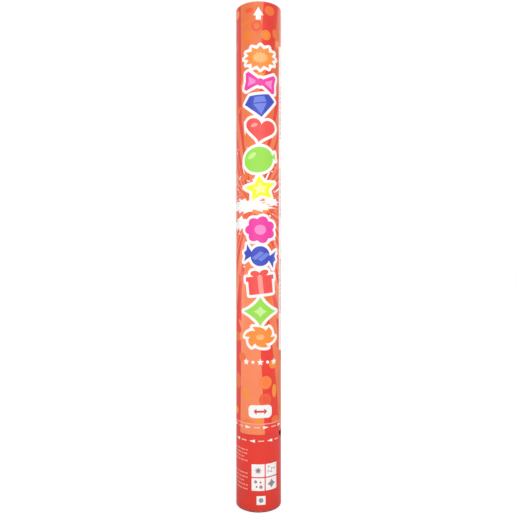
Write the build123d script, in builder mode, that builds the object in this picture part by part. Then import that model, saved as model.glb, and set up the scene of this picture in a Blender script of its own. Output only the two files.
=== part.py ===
from build123d import *
import math
import os

# A hand-held confetti popper fired by twisting the barrel against the handle.
# Two card tubes stand on one axis, +Z up, with the origin under the middle of the base.
# An air bottle fixed in the handle reaches up into the barrel, which turns on it.
# The twist lifts a stopper out of the bottle's head and the air blows the charge out.

# Driving dimensions of the tubes, in millimetres
overall_length = 580.0
seam_height = 88.0
seam_gap = 0.6
tube_bore = 48.0
tube_wall = 2.25
label_thickness = 0.2
glue_gap = 0.05
running_gap = 0.3
cut_overrun = 1.0

# Base cap
flange_thickness = 1.2
flange_edge_round = 0.4
flange_inset = 0.1
plug_height = 9.0
plug_wall = 1.8
cap_boss_wall = 2.0
cap_rib_count = 6
cap_rib_thickness = 2.0

# Air bottle and its liner
liner_wall = 1.9
bottle_above_seam = 62.2
bottle_wall = 2.5
bottle_floor = 3.0

# Fill valve in the bottle's floor
inlet_recess = 3.0
valve_shank_radius = 6.0
valve_flange_radius = 9.0
valve_flange_thickness = 3.0
valve_neck_radius = 5.0
valve_neck_height = 6.5
gasket_thickness = 1.5
nut_across_flats = 14.0
nut_thickness = 3.2
nut_pocket_gap = 0.4
inlet_radius = 2.5
inlet_depth = 5.0
orifice_radius = 1.6
orifice_length = 1.5
ball_radius = 2.8
ball_seat_gap = 0.05
ball_side_gap = 0.6
retainer_thickness = 2.0
retainer_hole_radius = 1.2
spring_coil_radius = 1.8
spring_wire_radius = 0.25
spring_turns = 5
spring_seat_gap = 0.1

# Bottle head with the release valve
spigot_length = 8.0
head_ring_wire = 1.9
head_flange_thickness = 3.0
head_flange_gap = 0.5
seal_bore_radius = 7.0
seal_bore_rise = 4.0
cage_bore_radius = 9.0
cage_wall = 3.0
slot_side_gap = 0.2

# Stopper, its cross pin and the cam that lifts it
cam_rise = 12.0
cam_turn = 90.0
cam_starts = 2
open_gap = 1.0
piston_side_gap = 0.1
stopper_ring_wire = 1.5
stem_radius = 5.0
stem_over_pin = 8.0
pin_radius = 1.5
pin_above_seal = 9.0
pin_end_gap = 1.5
cam_side_gap = 0.5
groove_side_gap = 0.35
pocket_side_gap = 0.5
groove_depth = 6.0
cam_top_wall = 2.5

# Nozzle plate
nozzle_stop_gap = 1.8
nozzle_thickness = 2.5
nozzle_skirt_wall = 2.0
nozzle_centre_radius = 4.0
nozzle_hole_radius = 2.5
nozzle_hole_circle = 28.0
nozzle_hole_count = 8

# Charge and muzzle
wad_thickness = 15.0
pusher_card_thickness = 1.5
plug_thickness = 12.0
muzzle_card_thickness = 1.0
muzzle_recess = 7.0
slip_width = 17.0
slip_length = 57.0
bundle_thickness = 7.0
bundle_gap = 0.4
bundles_per_layer = 4
layer_turn = 30.0

# Radii that follow from the tubes
bore_radius = tube_bore / 2
tube_radius = bore_radius + tube_wall
label_inner_radius = tube_radius + glue_gap
outer_radius = label_inner_radius + label_thickness
seat_radius = bore_radius - glue_gap
sliding_radius = bore_radius - running_gap
bottle_radius = seat_radius - liner_wall - glue_gap
bottle_bore_radius = bottle_radius - bottle_wall
spigot_radius = bottle_bore_radius - glue_gap
cage_radius = cage_bore_radius + cage_wall

# Heights of the handle, from the table up
handle_top = seam_height - seam_gap / 2
barrel_bottom = seam_height + seam_gap / 2
cap_top = flange_thickness + plug_height
bottle_top = seam_height + bottle_above_seam
bottle_length = bottle_top - cap_top
floor_top = cap_top + bottle_floor
valve_flange_bottom = floor_top + gasket_thickness
valve_flange_top = valve_flange_bottom + valve_flange_thickness
valve_top = valve_flange_top + valve_neck_height
orifice_bottom = inlet_recess + inlet_depth
seat_bottom = orifice_bottom + orifice_length
chamber_radius = ball_radius + ball_side_gap
chamber_bottom = seat_bottom + chamber_radius - orifice_radius
ball_height = seat_bottom - orifice_radius + (ball_radius + ball_seat_gap) * math.sqrt(2)
retainer_bottom = valve_top - retainer_thickness

# Heights of the release valve
head_top = bottle_top + head_flange_thickness
seal_top = head_top + seal_bore_rise
piston_bottom = seal_top + open_gap - cam_rise
pin_height = seal_top + pin_above_seal
stem_top = pin_height + stem_over_pin
cam_bottom = head_top + running_gap
cam_top = pin_height + cam_rise + pin_radius + cam_top_wall
nozzle_bottom = stem_top + cam_rise + nozzle_stop_gap
nozzle_top = nozzle_bottom + nozzle_thickness

# Heights of the charge
wad_bottom = nozzle_top + running_gap
wad_top = wad_bottom + wad_thickness
pusher_top = wad_top + pusher_card_thickness
charge_bottom = pusher_top + running_gap
muzzle_card_top = overall_length - muzzle_recess
plug_top = muzzle_card_top - muzzle_card_thickness
plug_bottom = plug_top - plug_thickness
layer_pitch = slip_length + running_gap
layer_count = int((plug_bottom - charge_bottom) / layer_pitch)
bundle_inner = slip_width / 2 / math.tan(math.pi / bundles_per_layer) + bundle_gap

os.makedirs("parts", exist_ok=True)


def save(piece, name):
    """Label a finished piece and write it to its own file."""
    piece.part.label = name
    export_step(piece.part, "parts/" + name + ".step")


def ring(inner, outer, bottom, top):
    """A plain tube or washer on the popper's axis."""
    with BuildPart(Plane.XY.offset(bottom)) as piece:
        Cylinder(outer, top - bottom, align=(Align.CENTER, Align.CENTER, Align.MIN))
        Hole(inner)
    return piece


def disc(radius, bottom, top):
    """A plain disc on the popper's axis."""
    with BuildPart(Plane.XY.offset(bottom)) as piece:
        Cylinder(radius, top - bottom, align=(Align.CENTER, Align.CENTER, Align.MIN))
    return piece


def seal_ring(outer, wire, height):
    """A round seal of the given outer radius and wire thickness, lying at a height."""
    with BuildPart(Plane.XY.offset(height)) as piece:
        Torus(outer - wire / 2, wire / 2)
    return piece


def turned(*points):
    """A solid of revolution about the popper's axis from a closed radius and height outline."""
    with BuildPart() as piece:
        with BuildSketch(Plane.XZ):
            with BuildLine():
                Polyline(*points, close=True)
            make_face()
        revolve(axis=Axis.Z)
    return piece


# Base cap: a thin flange that the popper stands on, and a ribbed plug inside the handle tube
nut_corner_radius = nut_across_flats / math.sqrt(3)
nut_pocket_radius = nut_corner_radius + nut_pocket_gap
cap_boss_radius = nut_pocket_radius + cap_boss_wall
nut_bottom = cap_top - nut_thickness
with BuildPart() as base_cap:
    with BuildSketch():
        Circle(outer_radius - flange_inset)
    extrude(amount=flange_thickness)
    fillet(base_cap.edges().group_by(Axis.Z)[0], flange_edge_round)
    with BuildSketch(Plane.XY.offset(flange_thickness)):
        Circle(seat_radius)
        Circle(seat_radius - plug_wall, mode=Mode.SUBTRACT)
        with PolarLocations(0, cap_rib_count):
            Rectangle(seat_radius - plug_wall / 2, cap_rib_thickness, align=(Align.MIN, Align.CENTER))
        Circle(cap_boss_radius)
    extrude(amount=plug_height)
    with BuildSketch(Plane.XY.offset(cap_top)):
        Circle(nut_pocket_radius)
    extrude(amount=-nut_thickness - running_gap, mode=Mode.SUBTRACT)
    with Locations((0, 0, cap_top)):
        Hole(valve_shank_radius + running_gap)
save(base_cap, "base_cap")

# Handle tube, its printed wrap and the card liner round the bottle
handle_tube = ring(bore_radius, tube_radius, flange_thickness, handle_top)
save(handle_tube, "handle_tube")
handle_label = ring(label_inner_radius, outer_radius, flange_thickness, handle_top)
save(handle_label, "handle_label")
handle_liner = ring(bottle_radius + glue_gap, seat_radius, cap_top, handle_top)
save(handle_liner, "handle_liner")

# Air bottle: a cup that stands on the base cap's ribs, with the fill valve through its floor
with BuildPart(Plane.XY.offset(cap_top)) as air_cylinder:
    Cylinder(bottle_radius, bottle_length, align=(Align.CENTER, Align.CENTER, Align.MIN))
    with Locations((0, 0, bottle_floor)):
        Cylinder(
            bottle_bore_radius,
            bottle_length - bottle_floor,
            align=(Align.CENTER, Align.CENTER, Align.MIN),
            mode=Mode.SUBTRACT,
        )
    Hole(valve_shank_radius + glue_gap)
save(air_cylinder, "air_cylinder")

# Bottle head: spigot, catching flange, seal bore and the cage that guides the cross pin
head_groove_radius = spigot_radius - head_ring_wire - glue_gap
head_groove_middle = bottle_top - spigot_length / 2
head_groove_half = head_ring_wire / 2 + glue_gap
head_flange_radius = bore_radius - head_flange_gap
head_blank = turned(
    (seal_bore_radius, bottle_top - spigot_length),
    (spigot_radius, bottle_top - spigot_length),
    (spigot_radius, head_groove_middle - head_groove_half),
    (head_groove_radius, head_groove_middle - head_groove_half),
    (head_groove_radius, head_groove_middle + head_groove_half),
    (spigot_radius, head_groove_middle + head_groove_half),
    (spigot_radius, bottle_top),
    (head_flange_radius, bottle_top),
    (head_flange_radius, head_top),
    (cage_radius, head_top),
    (cage_radius, cam_top),
    (cage_bore_radius, cam_top),
    (cage_bore_radius, seal_top),
    (seal_bore_radius, seal_top),
)
slot_bottom = pin_height - pin_radius - running_gap
with BuildPart() as cylinder_head:
    add(head_blank.part)
    with BuildSketch(Plane.XY.offset(cam_top)):
        Rectangle(2 * (cage_radius + cut_overrun), 2 * (pin_radius + slot_side_gap))
    extrude(amount=slot_bottom - cam_top, mode=Mode.SUBTRACT)
save(cylinder_head, "cylinder_head")

head_o_ring = seal_ring(spigot_radius, head_ring_wire, head_groove_middle)
save(head_o_ring, "head_o_ring")

# Fill valve: body, gasket, nut, ball, spring and retainer
fill_valve_body = turned(
    (inlet_radius, inlet_recess),
    (valve_shank_radius, inlet_recess),
    (valve_shank_radius, valve_flange_bottom),
    (valve_flange_radius, valve_flange_bottom),
    (valve_flange_radius, valve_flange_top),
    (valve_neck_radius, valve_flange_top),
    (valve_neck_radius, valve_top),
    (chamber_radius, valve_top),
    (chamber_radius, chamber_bottom),
    (orifice_radius, seat_bottom),
    (orifice_radius, orifice_bottom),
    (inlet_radius, orifice_bottom),
)
save(fill_valve_body, "fill_valve_body")

fill_valve_gasket = ring(valve_shank_radius + glue_gap, valve_flange_radius, floor_top, valve_flange_bottom)
save(fill_valve_gasket, "fill_valve_gasket")

with BuildPart() as fill_valve_nut:
    with BuildSketch(Plane.XY.offset(nut_bottom)):
        RegularPolygon(nut_corner_radius, 6)
        Circle(valve_shank_radius + glue_gap, mode=Mode.SUBTRACT)
    extrude(amount=nut_thickness)
save(fill_valve_nut, "fill_valve_nut")

with BuildPart(Plane.XY.offset(ball_height)) as fill_valve_ball:
    Sphere(ball_radius)
save(fill_valve_ball, "fill_valve_ball")

fill_valve_retainer = ring(retainer_hole_radius, chamber_radius - glue_gap, retainer_bottom, valve_top)
save(fill_valve_retainer, "fill_valve_retainer")

ball_contact_rise = math.sqrt((ball_radius + spring_wire_radius) ** 2 - spring_coil_radius**2)
spring_bottom = ball_height + ball_contact_rise + spring_seat_gap
spring_height = retainer_bottom - spring_wire_radius - spring_seat_gap - spring_bottom
with BuildPart() as fill_valve_spring:
    with BuildLine() as spring_path:
        Helix(spring_height / spring_turns, spring_height, spring_coil_radius, center=(0, 0, spring_bottom))
    with BuildSketch(Plane(origin=spring_path.line @ 0, z_dir=spring_path.line % 0)):
        Circle(spring_wire_radius)
    sweep(is_frenet=True)
save(fill_valve_spring, "fill_valve_spring")

# Stopper: a piston that plugs the seal bore, with a grooved seal and a cross pin through its stem
piston_radius = seal_bore_radius - piston_side_gap
stopper_ring_radius = seal_bore_radius - glue_gap
stopper_groove_radius = stopper_ring_radius - stopper_ring_wire - glue_gap
stopper_groove_middle = (piston_bottom + seal_top) / 2
stopper_groove_half = stopper_ring_wire / 2 + glue_gap
stopper_blank = turned(
    (0, piston_bottom),
    (piston_radius, piston_bottom),
    (piston_radius, stopper_groove_middle - stopper_groove_half),
    (stopper_groove_radius, stopper_groove_middle - stopper_groove_half),
    (stopper_groove_radius, stopper_groove_middle + stopper_groove_half),
    (piston_radius, stopper_groove_middle + stopper_groove_half),
    (piston_radius, seal_top),
    (stem_radius, seal_top),
    (stem_radius, stem_top),
    (0, stem_top),
)
with BuildPart() as release_stopper:
    add(stopper_blank.part)
    with BuildSketch(Plane.YZ):
        with Locations((0, pin_height)):
            Circle(pin_radius + glue_gap)
    extrude(amount=stem_radius, both=True, mode=Mode.SUBTRACT)
save(release_stopper, "release_stopper")

stopper_o_ring = seal_ring(stopper_ring_radius, stopper_ring_wire, stopper_groove_middle)
save(stopper_o_ring, "stopper_o_ring")

cam_bore_radius = cage_radius + cam_side_gap
groove_outer_radius = cam_bore_radius + groove_depth
with BuildPart() as stopper_pin:
    with BuildSketch(Plane.YZ):
        with Locations((0, pin_height)):
            Circle(pin_radius)
    extrude(amount=groove_outer_radius - pin_end_gap, both=True)
save(stopper_pin, "stopper_pin")

# Barrel tube, its printed wrap and the sleeve that turns on the bottle
barrel_tube = ring(bore_radius, tube_radius, barrel_bottom, overall_length)
save(barrel_tube, "barrel_tube")
barrel_label = ring(label_inner_radius, outer_radius, barrel_bottom, overall_length)
save(barrel_label, "barrel_label")
bearing_sleeve = ring(
    bottle_radius + running_gap,
    seat_radius,
    handle_top + running_gap,
    bottle_top - running_gap,
)
save(bearing_sleeve, "bearing_sleeve")

# One helical groove of the cam: it climbs against the turn between two round pockets for the pin,
# and the upper pocket opens upwards to free it
groove_width = 2 * (pin_radius + groove_side_gap)
groove_inner_radius = cage_radius
groove_middle_radius = (groove_inner_radius + groove_outer_radius) / 2
groove_length = groove_outer_radius - groove_inner_radius
with BuildPart() as cam_groove:
    with BuildLine() as groove_path:
        Helix(
            cam_rise * 360 / cam_turn,
            cam_rise,
            groove_middle_radius,
            center=(0, 0, pin_height),
            lefthand=True,
        )
    with BuildSketch(Plane(groove_path.line @ 0, x_dir=(1, 0, 0), z_dir=groove_path.line % 0)):
        Rectangle(groove_length, groove_width)
    sweep(is_frenet=True)
    for angle, height in ((0, pin_height), (-cam_turn, pin_height + cam_rise)):
        outward = (math.cos(math.radians(angle)), math.sin(math.radians(angle)), 0)
        groove_end = Plane((0, 0, height), x_dir=(0, 0, 1), z_dir=outward).offset(groove_inner_radius)
        with BuildSketch(groove_end):
            Circle(pin_radius + pocket_side_gap)
        extrude(amount=groove_length)
    with BuildSketch(Plane.XY.rotated((0, 0, -cam_turn)).offset(pin_height + cam_rise)):
        with Locations((groove_middle_radius, 0)):
            Rectangle(groove_length, groove_width)
    extrude(amount=cam_top - pin_height - cam_rise)

# Cam ring glued in the barrel, with its grooves spaced evenly round the bore
cam_blank = ring(cam_bore_radius, seat_radius, cam_bottom, cam_top)
with BuildPart() as cam_ring:
    add(cam_blank.part)
    with PolarLocations(0, cam_starts):
        add(cam_groove.part, mode=Mode.SUBTRACT)
save(cam_ring, "cam_ring")

# Nozzle plate: a skirted disc that stands on the cam ring and spreads the air
with BuildPart() as nozzle_plate:
    with BuildSketch(Plane.XY.offset(cam_top)):
        Circle(seat_radius)
    extrude(amount=nozzle_top - cam_top)
    with BuildSketch(Plane.XY.offset(cam_top)):
        Circle(seat_radius - nozzle_skirt_wall)
    extrude(amount=nozzle_bottom - cam_top, mode=Mode.SUBTRACT)
    with Locations((0, 0, nozzle_top)):
        Hole(nozzle_centre_radius)
        with PolarLocations(nozzle_hole_circle / 2, nozzle_hole_count):
            Hole(nozzle_hole_radius)
save(nozzle_plate, "nozzle_plate")

# Pusher wad and its card, under the charge
pusher_wad = disc(sliding_radius, wad_bottom, wad_top)
save(pusher_wad, "pusher_wad")
pusher_card = disc(sliding_radius, wad_top, pusher_top)
save(pusher_card, "pusher_card")


def confetti(first_bundle):
    """Every other bundle of slips in each layer, starting with the given one."""
    with BuildPart() as piece:
        for layer in range(layer_count):
            layer_plane = Plane.XY.offset(charge_bottom + layer * layer_pitch)
            for bundle in range(first_bundle, bundles_per_layer, 2):
                turn = layer * layer_turn + bundle * 360 / bundles_per_layer
                with BuildSketch(layer_plane.rotated((0, 0, turn))):
                    with Locations((bundle_inner, 0)):
                        Rectangle(bundle_thickness, slip_width, align=(Align.MIN, Align.CENTER))
                extrude(amount=slip_length)
    return piece


# Charge: bundles of tissue and foil slips standing on end, in layers turned against each other
paper_confetti = confetti(0)
save(paper_confetti, "paper_confetti")
foil_confetti = confetti(1)
save(foil_confetti, "foil_confetti")

# Muzzle plug and its card, just inside the barrel's open end
muzzle_plug = disc(sliding_radius, plug_bottom, plug_top)
save(muzzle_plug, "muzzle_plug")
muzzle_card = disc(sliding_radius, plug_top, muzzle_card_top)
save(muzzle_card, "muzzle_card")
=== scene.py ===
"""Looks of a hand-held confetti popper: printed wraps, wound card, foam, mouldings, valve and slips."""

import math
import random

import bpy
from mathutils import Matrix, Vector, noise
from mathutils.geometry import delaunay_2d_cdt


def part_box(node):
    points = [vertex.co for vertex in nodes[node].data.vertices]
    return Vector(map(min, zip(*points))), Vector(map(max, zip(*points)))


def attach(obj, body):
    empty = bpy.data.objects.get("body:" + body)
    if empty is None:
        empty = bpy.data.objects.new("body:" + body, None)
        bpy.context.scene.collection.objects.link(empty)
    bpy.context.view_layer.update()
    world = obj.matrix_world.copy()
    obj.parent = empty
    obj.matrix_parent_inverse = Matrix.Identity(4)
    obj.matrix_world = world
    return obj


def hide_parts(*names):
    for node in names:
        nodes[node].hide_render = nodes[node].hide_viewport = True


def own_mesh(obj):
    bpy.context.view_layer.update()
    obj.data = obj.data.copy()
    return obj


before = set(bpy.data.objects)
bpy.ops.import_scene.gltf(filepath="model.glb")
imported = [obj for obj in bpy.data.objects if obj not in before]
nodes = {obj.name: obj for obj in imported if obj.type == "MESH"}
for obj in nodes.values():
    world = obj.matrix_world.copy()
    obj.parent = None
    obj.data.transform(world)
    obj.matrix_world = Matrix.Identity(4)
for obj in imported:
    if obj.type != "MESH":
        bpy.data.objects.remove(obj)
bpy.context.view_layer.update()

MM = 0.001
WHITE = (1, 1, 1, 1)


def node_radius(node):
    """How far a node reaches from the popper's axis, in metres."""
    return max(v.co.xy.length for v in nodes[node].data.vertices)


def arc(degrees):
    """Length along the print of an angle round the tube."""
    return math.radians(degrees) * RADIUS


# Camera, level at about the popper's mid height: its place in metres, its sensor in millimetres
PHOTO_PIXELS = 516
FOCAL_PIXELS = 523.3
SENSOR_WIDTH = 36.0
CAMERA_PLACE = (-0.0007, -0.62, 0.2889)

# Stage: a floor a hair under the popper, in metres, and how bright floor and room are
FLOOR_REACH = 30.0
FLOOR_DROP = 0.0002
FLOOR_GREY = (0.7, 0.7, 0.7, 1)
FLOOR_GLOW = 0.57
ROOM_LIGHT = 0.57
ROOM_SEEN = 1.0

# Lamps, in metres and watts: name, place, aim, width and height, power, and spread in degrees
LAMPS = (
    ("key", (-0.15, -1.9, 1.0), (0, 0, 0.3), (2.2, 2.2), 23, 180),
    ("fill", (1.1, -1.5, 0.5), (0, 0, 0.3), (1.6, 2.0), 2, 180),
    ("back", (0.5, 1.9, 0.9), (0, 0, 0.3), (2.4, 2.4), 13, 180),
    ("left", (-1.2, 0.04, 0.31), (0, 0, 0.31), (0.3, 0.46), 0.065, 20),
    ("right", (1.2, 0.04, 0.31), (0, 0, 0.31), (0.3, 0.46), 0.065, 20),
)

# The prints are laid out flat, in millimetres: u runs round the tube to the right of the front, z up.
# At the seam the paper stands over the ends of the tubes by a hair.
RADIUS = node_radius("barrel_label") / MM
ROUND = 2 * math.pi * RADIUS
OVERHANG = 0.2
BARREL_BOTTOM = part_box("barrel_label")[0].z / MM - OVERHANG
BARREL_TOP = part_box("barrel_label")[1].z / MM
HANDLE_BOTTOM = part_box("handle_label")[0].z / MM
HANDLE_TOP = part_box("handle_label")[1].z / MM + OVERHANG
PAPER = 0.2
LAP_WIDTH = 6.0
LAP_RAMP = 4.0
LAP_RISE = 0.22
SEAM_ANGLE = -125.0
FACET_ANGLE = 5.0
SHEET_LEFT = arc(SEAM_ANGLE)
SHEET_RIGHT = SHEET_LEFT + ROUND + LAP_WIDTH

# Triangles of the sheets: how near points become one, how near is level, and which triangles are kept
MERGE = 1e-4
NEAR = 1e-3
KEEP_HULL = 0
KEEP_INSIDE = 1

# Maps of the sheets, in two by two cells: the print in bands, a band to a cell, and in the last cell
# the back, with both edges of the sides over it
BARREL_BANDS = 3
HANDLE_BANDS = 2
MAP_CELL = 0.5
MAP_PAD = 0.004
MAP_BACK = 0.8
MAP_SIDES = (0.9, 0.95)

# White panel on the right: a first column of bold bars, then finer columns, every fourth shorter
PANEL_LEFT = 28.8
PANEL_RIGHT = 58.8
PANEL_BOTTOM = 181.3
PANEL_TOP = 535.9
PANEL_CORNER = 4.0
PANEL_MARGIN = 6.0
PANEL_FIRST = 4.2
PANEL_PITCH = 2.8
PANEL_LINES = 8
PANEL_STROKE = 0.9
PANEL_SHORTER = 60.0
BOLD_BARS = ((224, 288), (337, 394), (428, 490))
BOLD_STROKE = 2.2

# Lines of bars: a bar's length, the gap after it, and the room that one more needs
BAR_LENGTH = (2.2, 8.0)
BAR_GAP = 1.1
BAR_ROOM = 1.5

# Fans of rays in front and behind, which meet under the panel, with widths in degrees
BACK_U = arc(180)
FAN_MIDDLE = (-6.0, 349.0)
BACK_FAN_MIDDLE = (BACK_U - 8.0, 322.0)
FAN_SPLIT = (PANEL_LEFT + PANEL_RIGHT) / 2
RED_RAY = (2.4, 4.4)
WARM_RAY = (3.4, 6.4)
WARM_INKS = ("ray_salmon", "ray_orange")

# Stripes straight above and below a fan's middle, from the left, and a red one from further left
STRIPES_LEFT = 9.0
STRIPES = (("ray_salmon", 11.9), ("ray_red", 5.2), ("ray_orange", 4.4))
EDGE_SHIFT = -14.5
EDGE_START = 0.8
EDGE_END = 5.2

# Splash at a fan's middle: streaks, white flashes and white specks. A flash has its shift across and up,
# half width, half height and number of spikes.
STREAKS = 90
STREAK_NEAR = (24, 85)
STREAK_LENGTH = (7, 22)
STREAK_WIDTH = (0.8, 2.2)
STREAK_INKS = ("white", "ray_salmon", "dot_orange", "dot_peach", "ray_red", "dot_deep")
FLASHES = ((-8, 0, 34, 9, 19), (-20, -21, 15, 9, 9), (24, 4, 12, 5, 7))
FLASH_TIP = (0.8, 1.15)
FLASH_NOTCH = (0.5, 0.85)
FLASH_UNEVEN = 0.35
SPECKS = 110
SPECK_NEAR = 22
SPECK_SPREAD = 75
SPECK_CROWDING = 1.6
SPECK_SIZE = (0.7, 2.6)
FLECK_POINTS = 10

# Confetti strewn over each fan, clear of the front: from a height to a height, how many
STREWN = ((455, BARREL_TOP, 26), (BARREL_BOTTOM + 14, 225, 26), (225, 455, 12))
STREWN_INKS = ("dot_orange", "dot_amber", "dot_deep", "dot_peach")
STREWN_KINDS = ("oval", "oval", "coin", "slip", "thin")
STREWN_SIZE = (9, 14)
STREWN_SHARES = {"slip": (0.9, 0.34), "thin": (0.38, 1.2)}
STREWN_CLEAR = 40.0

# Confetti that shows on the front: kind, ink, middle, width, height and tilt
CONFETTI = (
    ("slip", "dot_flame", (-11.3, 571.0), 9, 5, 6),
    ("oval", "dot_orange", (13.3, 570.6), 12.5, 11, 0),
    ("oval", "dot_amber", (-31, 571.5), 9, 9, 0),
    ("slip", "dot_tan", (-15.5, 557.6), 10.5, 3.2, 24),
    ("oval", "dot_flame", (-2.3, 552.2), 12.5, 12.5, 0),
    ("oval", "ray_salmon", (-2.3, 552.2), 7.0, 7.0, 0),
    ("coin", "dot_honey", (8.6, 542.3), 11.6, 11.6, 0),
    ("slip", "dot_tan", (-12, 542.2), 8.6, 10, -8),
    ("oval", "dot_orange", (20.7, 546), 7.5, 11, 10),
    ("oval", "dot_peach", (25, 535), 7, 9, 0),
    ("oval", "dot_orange", (-21.2, 175), 11, 11, 0),
    ("coin", "dot_amber", (17.5, 167.5), 10, 10, 0),
    ("oval", "dot_orange", (-29.5, 147), 13, 18, 0),
    ("coin", "dot_warm", (8.3, 147.3), 15.2, 15.2, 0),
    ("oval", "dot_amber", (19.7, 136.8), 6.4, 15.6, 0),
    ("oval", "dot_amber", (-14.7, 134), 5.8, 15.4, 27),
    ("coin", "dot_deep", (8.0, 127.6), 15, 15, 0),
    ("oval", "dot_orange", (31, 112.7), 10, 10, 0),
    ("oval", "dot_amber", (-33, 112.5), 9, 9, 0),
    ("oval", "dot_warm", (-13.2, 102.4), 15.5, 5.2, 0),
    ("slip", "dot_amber", (0.1, 104.4), 8, 6.4, 0),
    ("oval", "dot_orange", (21.9, 104), 12, 8, 0),
)

# A slip's round corner and a coin's ring as shares of their size, and the inks whose ring is peach
SLIP_CORNER = 0.3
RING_OUTER = 0.74
RING_INNER = 0.62
PEACH_RINGS = ("dot_orange", "dot_warm")

# The column from the top down: motif, ink, height on the barrel, width, height and tilt. The one at the
# back runs from the bottom up.
COLUMN_U = 2.0
COLUMN_OUTLINE = 3.3
BACK_SHIFT = -6.0
COLUMN = (
    ("burst", "orange", 516.5, 40, 27, 0),
    ("bow", "magenta", 488.5, 39, 22, -7),
    ("gem", "blue", 462.0, 37, 26, 6),
    ("heart", "red", 433.0, 36, 27, -9),
    ("balloon", "green", 401.0, 39, 29, 12),
    ("star", "yellow", 367.5, 40, 30, 8),
    ("flower", "magenta", 321.0, 37, 31, 0),
    ("candy", "blue", 291.0, 41, 24, -12),
    ("gift", "red", 261.5, 34, 27, 6),
    ("sparkle", "green", 228.0, 42, 34, 0),
    ("pinwheel", "orange", 199.0, 38, 26, 0),
)

# Pointer at the top, from its foot, and two-way arrow in a badge
POINTER_FOOT = (-0.3, 559.3)
POINTER = [(0, 14.6), (-5.9, 5.1), (-2.95, 5.1), (-2.95, 0), (2.95, 0), (2.95, 5.1), (5.9, 5.1)]
BADGE = (-11.9, 107.2, 16.0, 121.8)
BADGE_CORNER = 5.0
ARROW_MIDDLE = (2.05, 114.5)
ARROW = [
    (-8, 0), (-4.4, 3.6), (-4.4, 1.2), (4.4, 1.2), (4.4, 3.6),
    (8, 0), (4.4, -3.6), (4.4, -1.2), (-4.4, -1.2), (-4.4, -3.6),
]

# Row of stars and dots under the column, and a pale line round the barrel's foot that is a painted
# highlight
STAR_ROW = 5
STAR_ROW_HEIGHT = 170.5
STAR_PITCH = 8.5
STAR_SIZE = 8.0
STAR_WAIST = 0.48
DOT_SIZE = 3.6
CREASE_HIGHLIGHT = (99.7, 100.8)

# Marks for the twist, all round: triangles, and short bars between them. Each print's marks have their
# height, and how far the first stands from the sheet's left side. On the handle, one triangle makes room
# for the dark mark of painted shadow under the seam.
TURN_MARKS = 8
TURN_TRIANGLE = [(-1, -1), (1, 0), (-1, 1)]
TURN_LENGTH = 6.8
TURN_HEIGHT = 3.5
TURN_BARS = 3
TURN_BAR_LENGTH = 2.0
TURN_BAR_HEIGHT = 1.2
TURN_BAR_PITCH = 2.4
BARREL_MARKS = (96.3, 3.9)
HANDLE_MARKS = (81.0, 8.6)
HANDLE_GAP = 4

# Lines of bars on the handle, every third one shorter, in blocks: number, height of the first, pitch
LINES_LEFT = -38.0
LINES_RIGHT = -13.0
LINES_SHORTER = 5.0
LINES_STROKE = 1.2
LINE_BLOCKS = ((4, 70.0, 4.1), (5, 43.4, 4.5))

# White squares on the handle, a smaller one under them, and a dark mark of painted shadow under the seam
SQUARE_LEFTS = (-8.1, 8.2)
SQUARE_BOTTOMS = (24.6, 40.3)
SQUARE_WIDTH = 15.0
SQUARE_HEIGHT = 14.4
SQUARE_CORNER = 0.6
SMALL_SQUARE = (-2.3, 8.8, 8.0, 18.7)
SMALL_CORNER = 0.5
SEAM_SHADOW_U = 34.6
SEAM_SHADOW_WIDTH = 11.0
SEAM_SHADOW_TIP = 80.4
SEAM_SHADOW_SHOULDER = 84.0

# Inks as 8-bit display colours
INKS = {
    "ray_red": (240, 58, 46),
    "ray_salmon": (254, 138, 92),
    "ray_orange": (244, 122, 70),
    "dot_orange": (242, 114, 48),
    "dot_amber": (252, 150, 48),
    "dot_deep": (240, 88, 58),
    "dot_peach": (252, 146, 88),
    "dot_honey": (246, 140, 36),
    "dot_tan": (242, 126, 34),
    "dot_warm": (255, 127, 56),
    "dot_flame": (238, 84, 38),
    "white": (252, 251, 249),
    "orange": (254, 146, 54),
    "orange_light": (255, 186, 112),
    "magenta": (244, 58, 166),
    "magenta_light": (252, 142, 205),
    "blue": (58, 74, 192),
    "blue_light": (112, 130, 226),
    "red": (246, 80, 76),
    "red_light": (254, 158, 148),
    "green": (158, 226, 78),
    "green_light": (205, 244, 150),
    "yellow": (254, 248, 44),
    "yellow_light": (255, 253, 170),
    "line_red": (222, 66, 64),
    # Pale ink of the painted highlight along an edge round the barrel
    "line_pale": (252, 172, 150),
    "line_rose": (248, 166, 150),
    "line_light": (254, 216, 204),
    "line_grey": (150, 148, 154),
    # Dark red of the painted shadow under the seam
    "index_red": (122, 16, 16),
    # handle_red is the tone at the handle's foot, darkened there as painted shade
    "handle_red": (221, 53, 40),
}
INK_GLOSS = {"Specular_IOR_Level": 0.38, "Coat_Weight": 0.1, "Coat_Roughness": 0.3}
MATT_GLOSS = {"Specular_IOR_Level": 0.0}
SEAM_SHADOW_INK = "index_red"

# Ground inks are uneven, change over a range of heights to these tones, and are scuffed near the ends
GROUND_TOPS = {
    "ray_red": (229, 51, 39),
    "ray_salmon": (237, 117, 61),
    "ray_orange": (233, 105, 50),
    # The handle's red at its top, lighter than at the foot, whose darkness is painted shade
    "handle_red": (236, 56, 42),
}
BARREL_RISE = (250, 500)
# Heights over which the handle's painted shade at the foot fades out
HANDLE_SHADE_RISE = (0, 55)
GROUND_DARK = 0.95
GROUND_LIGHT = 1.045
SCUFF_REACH = 0.8

# Wound board, in millimetres
PLY = 0.44
SPIRAL_PITCH = 96.0

# Foam discs, in millimetres: round edge, dents, and rings of points as shares of radius and height
FOAM_EDGE = 1.2
FOAM_DENT = 0.18
FOAM_DENT_SCALE = 260
FOAM_DENT_LEVEL = 0.6
FOAM_RINGS = (0.25, 0.5, 0.75, 0.9)
FOAM_SIDE_RINGS = (1 / 3, 1 / 2, 2 / 3)
FOAM_EDGE_STEPS = 4
FOAM_ROUND = 72

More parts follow.
